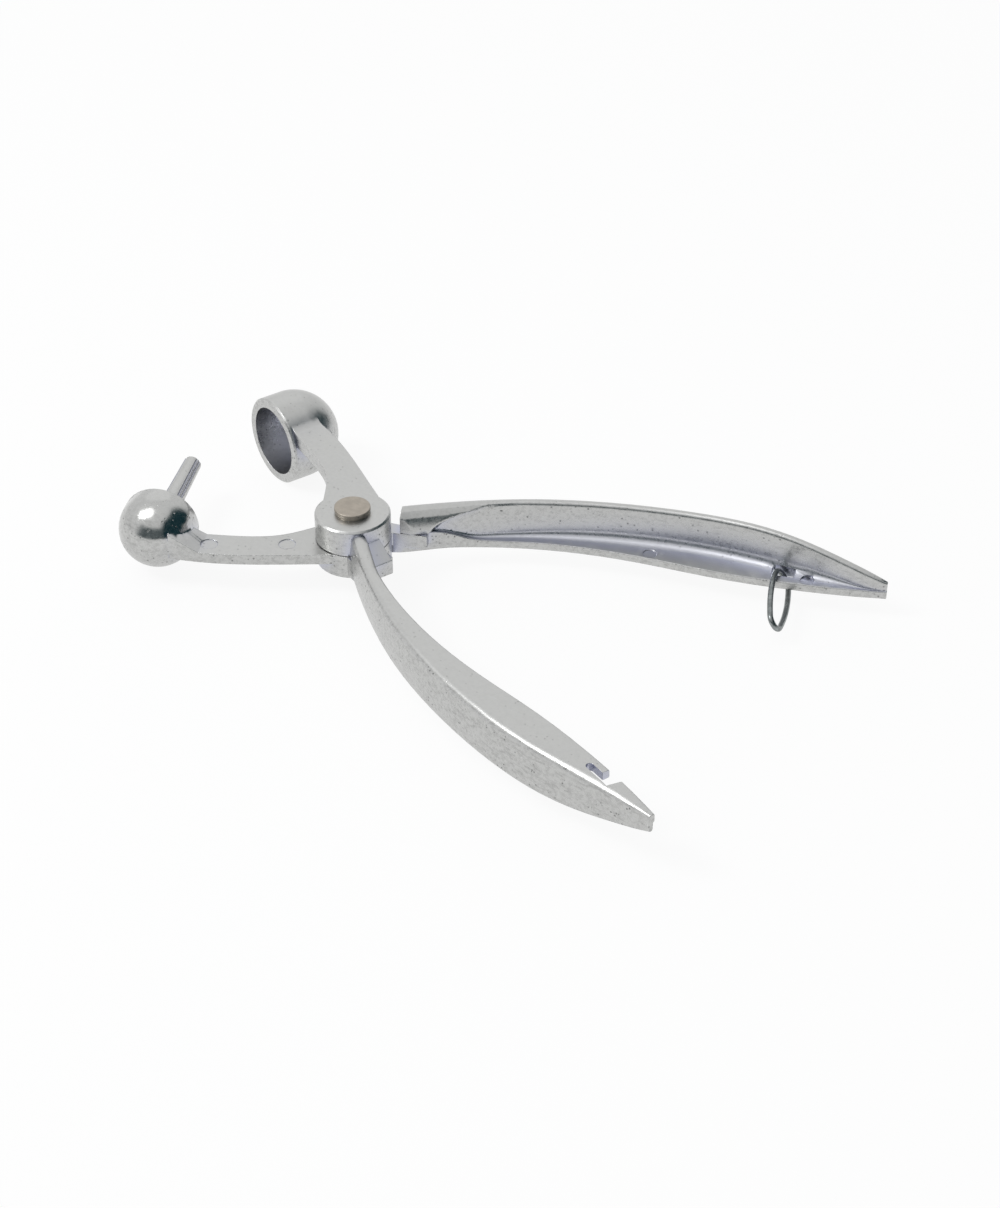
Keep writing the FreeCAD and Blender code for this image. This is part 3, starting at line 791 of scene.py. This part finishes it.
class PITTER_OT_castings(bpy.types.Operator):
    """Dresses the cup lever and the punch lever as tumbled castings"""

    bl_idname = "pitter.castings"
    bl_label = "Cast levers"

    def execute(self, context):
        sizes = context.scene.pitter_sizes
        colours = context.scene.pitter_colours
        groups = shared_groups()
        for node, centre in (("cup_lever", None), ("punch_lever", ball_place())):
            material = cast_material("cast aluminium " + node, groups, colours, sizes, centre)
            mesh = merged_casting(node, sizes.crease_angle, sizes.handle_crease_angle)
            piece = add_piece(node + "_casting", mesh, node, material, node)
            weigh = piece.modifiers.new("face weighted normals", "WEIGHTED_NORMAL")
            weigh.mode = "FACE_AREA"
            weigh.weight = 50
            weigh.keep_sharp = True
        return {"FINISHED"}


class PITTER_OT_rivet(bpy.types.Operator):
    """Turns the rivet with its dimpled head, and the washer under it"""

    bl_idname = "pitter.rivet"
    bl_label = "Rivet and washer"

    def execute(self, context):
        sizes = context.scene.pitter_sizes
        material = rivet_material(shared_groups(), context.scene.pitter_colours)
        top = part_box("pivot_rivet")[1].z
        under, over = (corner.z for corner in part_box("rivet_washer"))

        tail, tail_height, shank = 3.8 * MM, 0.65 * MM, 2.6 * MM
        head, dimple, dimple_floor = sizes.head_radius, sizes.dimple_radius, top - 0.08 * MM
        rivet = rounded_profile([
            (0, 0, 0), (tail, 0, 0.15 * MM), (tail, tail_height, 0.1 * MM), (shank, tail_height, 0),
            (shank, over, 0), (head, over, 0.12 * MM), (head, top, 0.25 * MM),
            (dimple, top, 0.12 * MM), (0.3 * dimple, dimple_floor, 0.1 * MM), (0, dimple_floor, 0)])
        add_piece("pivot_rivet_turned", turned_mesh("rivet", rivet), "cup_lever",
                  material, "pivot_rivet")

        bore, rim = 2.66 * MM, 4.0 * MM
        washer = rounded_profile([
            (bore, under, 0), (rim, under, 0.1 * MM), (rim, over, 0.1 * MM), (bore, over, 0)])
        washer = np.concatenate([washer, washer[:1]])
        add_piece("rivet_washer_turned", turned_mesh("washer", washer), "cup_lever",
                  material, "rivet_washer")
        return {"FINISHED"}


class PITTER_OT_loop(bpy.types.Operator):
    """Bends the locking loop from round wire"""

    bl_idname = "pitter.loop"
    bl_label = "Locking loop"

    def execute(self, context):
        sizes = context.scene.pitter_sizes
        joint = next(j for j in frame["joints"] if j["name"] == "loop_swing")
        centre = np.array(joint["pos_m"])
        side = -np.array(joint["axis"])
        tilt, roll = math.radians(2.0), math.radians(34.0)
        out = turned_about((side[1], -side[0], 0.0), side, tilt)
        wide = turned_about(turned_about((0, 0, 1), side, tilt), out, roll)
        outline = loop_outline(sizes.loop_reach)
        path = centre + outline[:, :1] * out + outline[:, 1:] * wide
        mesh = tube_mesh("locking loop", path, sizes.loop_wire, sizes.ring_steps, True)
        colour = context.scene.pitter_colours.wire
        material = wire_material("drawn loop wire", shared_groups(), colour)
        add_piece("locking_loop_wire", mesh, "locking_loop", material, "locking_loop")
        return {"FINISHED"}


class PITTER_OT_spring(bpy.types.Operator):
    """Winds the return spring inside the hub"""

    bl_idname = "pitter.spring"
    bl_label = "Return spring"

    def execute(self, context):
        sizes = context.scene.pitter_sizes
        low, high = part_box("return_spring")
        middle = (low.z + high.z) / 2
        path = spring_path(middle, sizes.spring_turns)
        mesh = tube_mesh("return spring", path, sizes.spring_wire, SPRING_STEPS, False)
        colour = context.scene.pitter_colours.wire
        material = wire_material("drawn spring wire", shared_groups(), colour)
        spring = add_piece("return_spring_wire", mesh, None, material,
                           "return_spring")
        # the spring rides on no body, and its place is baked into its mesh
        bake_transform(spring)
        return {"FINISHED"}


class PITTER_OT_stage(bpy.types.Operator):
    """Sets the pale floor, the soft lamps, the plain world and the camera"""

    bl_idname = "pitter.stage"
    bl_label = "Stage"

    def execute(self, context):
        self.floor(context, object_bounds()[0].z, context.scene.pitter_colours.floor)
        self.world(context)
        self.lamps(context)
        self.camera(context)
        return {"FINISHED"}

    def floor(self, context, height, colour):
        """A wide plane that is white to the camera and still takes the object's shadow.

        Rays from the camera, off metal or through glass see it glow; others see only its colour.
        """
        corners = np.array([[(x, y, height) for x in (-FLOOR_HALF, FLOOR_HALF)]
                            for y in (-FLOOR_HALF, FLOOR_HALF)])
        mesh = grid_mesh("floor", corners, False, False)
        floor = bpy.data.objects.new("floor", mesh)
        context.scene.collection.objects.link(floor)
        material, tree, shader, _ = new_material("pale floor")
        shader.inputs["Base Color"].default_value = (*colour, 1.0)
        shader.inputs["Roughness"].default_value = 0.9
        shader.inputs["Specular IOR Level"].default_value = 0.0
        glow = tree.nodes.new("ShaderNodeEmission")
        path = tree.nodes.new("ShaderNodeLightPath")
        seen = maths(tree, "MAXIMUM", path.outputs["Is Camera Ray"], path.outputs["Is Glossy Ray"])
        seen = maths(tree, "MAXIMUM", seen, path.outputs["Is Transmission Ray"])
        mix = tree.nodes.new("ShaderNodeMixShader")
        tree.links.new(maths(tree, "MULTIPLY", seen, FLOOR_GLOW), mix.inputs[0])
        tree.links.new(shader.outputs[0], mix.inputs[1])
        tree.links.new(glow.outputs[0], mix.inputs[2])
        tree.links.new(mix.outputs[0], tree.nodes["Material Output"].inputs["Surface"])
        mesh.materials.append(material)
        floor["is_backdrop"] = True

    def world(self, context):
        """White to the camera; for light and reflections a pale room with two dark zones.

        One zone is the low part of the room on its dark side, the other a low band in front.
        """
        world = bpy.data.worlds.new("plain room")
        context.scene.world = world
        world.use_nodes = True
        tree = world.node_tree
        way = tree.nodes.new("ShaderNodeTexCoord").outputs["Generated"]
        rise = upward(tree, way)
        aside = dot(tree, way, (math.cos(DARK_SIDE), math.sin(DARK_SIDE), 0.0))
        ahead = dot(tree, way, (math.cos(FRONT), math.sin(FRONT), 0.0))
        zone = maths(tree, "MULTIPLY", ramp(tree, aside, 0.38, 0.66), ramp(tree, rise, 0.86, 0.74))
        band = maths(tree, "MULTIPLY", ramp(tree, ahead, 0.45, 0.80), ramp(tree, rise, 0.62, 0.48))
        dark = maths(tree, "MAXIMUM", zone, maths(tree, "MULTIPLY", band, 0.85))
        room = tree.nodes["Background"]
        tree.links.new(mixed(tree, dark, ROOM_TONE, DARK_TONE), room.inputs["Color"])
        room.inputs["Strength"].default_value = 1.0
        white = tree.nodes.new("ShaderNodeBackground")
        white.inputs["Color"].default_value = (1.0, 1.0, 1.0, 1.0)
        path = tree.nodes.new("ShaderNodeLightPath")
        seen = maths(tree, "MAXIMUM", path.outputs["Is Camera Ray"],
                     path.outputs["Is Transmission Ray"])
        mix = tree.nodes.new("ShaderNodeMixShader")
        tree.links.new(seen, mix.inputs[0])
        tree.links.new(room.outputs[0], mix.inputs[1])
        tree.links.new(white.outputs[0], mix.inputs[2])
        tree.links.new(mix.outputs[0], tree.nodes["World Output"].inputs["Surface"])

    def lamps(self, context):
        """Soft round lamps, each aimed at the origin."""
        for name, place, size, power in LAMPS:
            light = bpy.data.lights.new(name, "AREA")
            light.shape = "DISK"
            light.size = size
            light.energy = power
            lamp = bpy.data.objects.new(name, light)
            lamp.location = place
            lamp.rotation_euler = (-Vector(place)).to_track_quat("-Z", "Y").to_euler()
            context.scene.collection.objects.link(lamp)

    def camera(self, context):
        """The photograph's viewpoint."""
        data = bpy.data.cameras.new("camera")
        data.lens = LENS
        data.sensor_width = SENSOR_WIDTH
        data.sensor_fit = "AUTO"
        data.clip_start = 0.01
        camera = bpy.data.objects.new("camera", data)
        camera.location = CAMERA_PLACE
        camera.rotation_euler = Vector(CAMERA_AIM).to_track_quat("-Z", "Y").to_euler()
        context.scene.collection.objects.link(camera)
        context.scene.camera = camera


class PITTER_PT_panel(bpy.types.Panel):
    """Sizes, colours and steps of the olive pitter"""

    bl_idname = "PITTER_PT_panel"
    bl_label = "Olive pitter"
    bl_space_type = "VIEW_3D"
    bl_region_type = "UI"
    bl_category = "Olive pitter"

    def draw(self, context):
        layout = self.layout
        for group in (context.scene.pitter_sizes, context.scene.pitter_colours):
            box = layout.box()
            for name in group.__annotations__:
                box.prop(group, name)
        for step in STEPS:
            layout.operator(step.bl_idname)


STEPS = (PITTER_OT_castings, PITTER_OT_rivet, PITTER_OT_loop, PITTER_OT_spring, PITTER_OT_stage)
CLASSES = (PitterSizes, PitterColours, *STEPS, PITTER_PT_panel)


def register():
    """Registers the classes and hangs the sizes and colours on the scene."""
    for cls in CLASSES:
        bpy.utils.register_class(cls)
    bpy.types.Scene.pitter_sizes = PointerProperty(type=PitterSizes)
    bpy.types.Scene.pitter_colours = PointerProperty(type=PitterColours)


def unregister():
    """Takes the sizes, colours and classes away again."""
    del bpy.types.Scene.pitter_colours
    del bpy.types.Scene.pitter_sizes
    for cls in reversed(CLASSES):
        bpy.utils.unregister_class(cls)


def main():
    """Makes every piece and the stage."""
    register()
    bpy.context.scene.view_settings.view_transform = "Standard"
    for step in STEPS:
        group, name = step.bl_idname.split(".")
        getattr(getattr(bpy.ops, group), name)()


if __name__ == "__main__":
    main()
